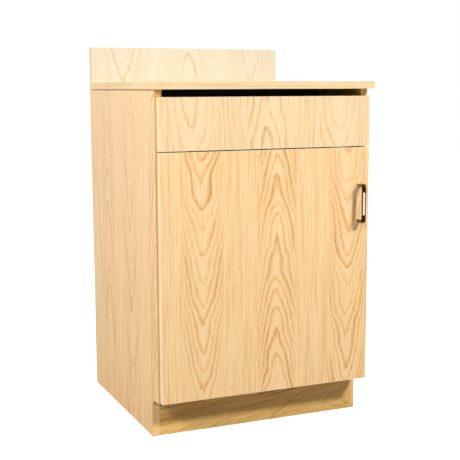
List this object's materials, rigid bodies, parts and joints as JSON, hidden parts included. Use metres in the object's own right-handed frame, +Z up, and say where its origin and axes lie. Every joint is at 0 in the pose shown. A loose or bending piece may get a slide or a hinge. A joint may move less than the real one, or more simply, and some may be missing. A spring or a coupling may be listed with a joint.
{
  "type": "waiter service station",
  "caption": "Freestanding waiter station cabinet: overhanging worktop with a low backsplash, a drawer over a side-hung door with an upright bar pull, and a recessed toe space.",
  "frame": {"origin": "on the floor, under the middle of the overall box with the handle included", "axes": "+X to the right seen from the front, -Y towards the front (drawer, door and toe space), +Z up"},
  "size_m": [0.61, 0.629, 1.016],
  "materials": {
    "oak_side": "satin oak-print laminate, grain upright",
    "oak_front": "satin oak-print laminate, grain upright",
    "oak_worktop": "satin oak-print laminate",
    "oak_backsplash": "satin oak-print laminate, grain upright",
    "oak_toe_board": "satin oak-print laminate, grain level",
    "oak_inside": "satin oak-print laminate",
    "pale_edge_band": "thin glued band, pale oak print",
    "oak_edge_band": "thin glued band, oak print",
    "worktop_edge_band": "thin glued band, oak print",
    "back_board": "thin faced board",
    "drawer_board": "pale faced board",
    "drawer_bottom_board": "pale faced hardboard",
    "beech_dowel": "plain beech",
    "dark_bronze": "dark bronze, satin",
    "satin_inlay": "satin nickel",
    "runner_steel": "white powder coat",
    "zinc_screw": "bright zinc",
    "hinge_steel": "zinc-plated steel",
    "nylon": "white nylon",
    "catch_plastic": "off-white moulded",
    "magnet": "dark ferrite",
    "soft_pad": "clear soft pad"
  },
  "bodies": {
    "carcass": {"side_panel_left": "oak_side", "side_panel_right": "oak_side", "side_edge_bands": "oak_edge_band", "bottom_panel": "oak_inside", "cross_board_bands": "oak_edge_band", "back_panel": "back_board", "toe_board_front": "oak_toe_board", "toe_board_rear": "oak_toe_board", "top_stretcher_front": "oak_inside", "top_stretcher_rear": "oak_inside", "drawer_divider_rail": "oak_inside", "countertop": "oak_worktop", "countertop_edge_bands": "worktop_edge_band", "backsplash": "oak_backsplash", "backsplash_edge_bands": "worktop_edge_band", "shelf": "oak_inside", "shelf_edge_band": "oak_edge_band", "shelf_pins": "hinge_steel", "carcass_dowels": "beech_dowel", "countertop_screws": "zinc_screw", "backsplash_screws": "zinc_screw", "back_panel_screws": "zinc_screw", "cabinet_runner_left": "runner_steel", "cabinet_runner_right": "runner_steel", "cabinet_runner_screws": "zinc_screw", "hinge_leaves": "hinge_steel", "hinge_leaf_screws": "zinc_screw", "hinge_pins": "hinge_steel", "hinge_washer": "nylon", "catch_body": "catch_plastic", "catch_magnet": "magnet", "catch_screws": "zinc_screw"},
    "drawer": {"drawer_front": "oak_front", "drawer_front_edge_bands": "pale_edge_band", "drawer_side_left": "drawer_board", "drawer_side_right": "drawer_board", "drawer_box_front": "drawer_board", "drawer_box_back": "drawer_board", "drawer_bottom": "drawer_bottom_board", "drawer_runner_left": "runner_steel", "drawer_runner_right": "runner_steel", "drawer_runner_screws": "zinc_screw", "drawer_front_screws": "zinc_screw", "drawer_box_screws": "zinc_screw", "drawer_bumpers": "soft_pad"},
    "door": {"door_panel": "oak_front", "door_edge_bands": "pale_edge_band", "handle_bar": "dark_bronze", "handle_inlay": "satin_inlay", "handle_screws": "zinc_screw", "hinge_bushes": "nylon", "strike_plate": "hinge_steel", "strike_screws": "zinc_screw", "door_bumpers": "soft_pad"},
    "front_roller_left": {"front_roller_left": "nylon"},
    "front_roller_right": {"front_roller_right": "nylon"},
    "rear_roller_left": {"rear_roller_left": "nylon"},
    "rear_roller_right": {"rear_roller_right": "nylon"}
  },
  "joints": [
    {"name": "drawer_slide", "type": "slide", "parent": "carcass", "child": "drawer", "axis": [0, -1, 0], "range_m": [0, 0.37]},
    {"name": "door_hinge", "type": "hinge", "parent": "carcass", "child": "door", "pos_m": [-0.289, -0.277, 0.423], "axis": [0, 0, -1], "range_deg": [0, 180]},
    {"name": "front_roller_left_spin", "type": "hinge", "parent": "carcass", "child": "front_roller_left", "pos_m": [-0.2755, -0.249, 0.781], "axis": [1, 0, 0], "range_deg": [0, 2130]},
    {"name": "front_roller_right_spin", "type": "hinge", "parent": "carcass", "child": "front_roller_right", "pos_m": [0.2755, -0.249, 0.781], "axis": [1, 0, 0], "range_deg": [0, 2130]},
    {"name": "rear_roller_left_spin", "type": "hinge", "parent": "drawer", "child": "rear_roller_left", "pos_m": [-0.274, 0.2185, 0.7786], "axis": [1, 0, 0], "range_deg": [0, 2130]},
    {"name": "rear_roller_right_spin", "type": "hinge", "parent": "drawer", "child": "rear_roller_right", "pos_m": [0.274, 0.2185, 0.7786], "axis": [1, 0, 0], "range_deg": [0, 2130]}
  ],
  "couplings": [
    {"joint": "front_roller_left_spin", "follows": "drawer_slide", "rad_per_m": 100},
    {"joint": "front_roller_right_spin", "follows": "drawer_slide", "rad_per_m": 100},
    {"joint": "rear_roller_left_spin", "follows": "drawer_slide", "rad_per_m": 100},
    {"joint": "rear_roller_right_spin", "follows": "drawer_slide", "rad_per_m": 100}
  ]
}
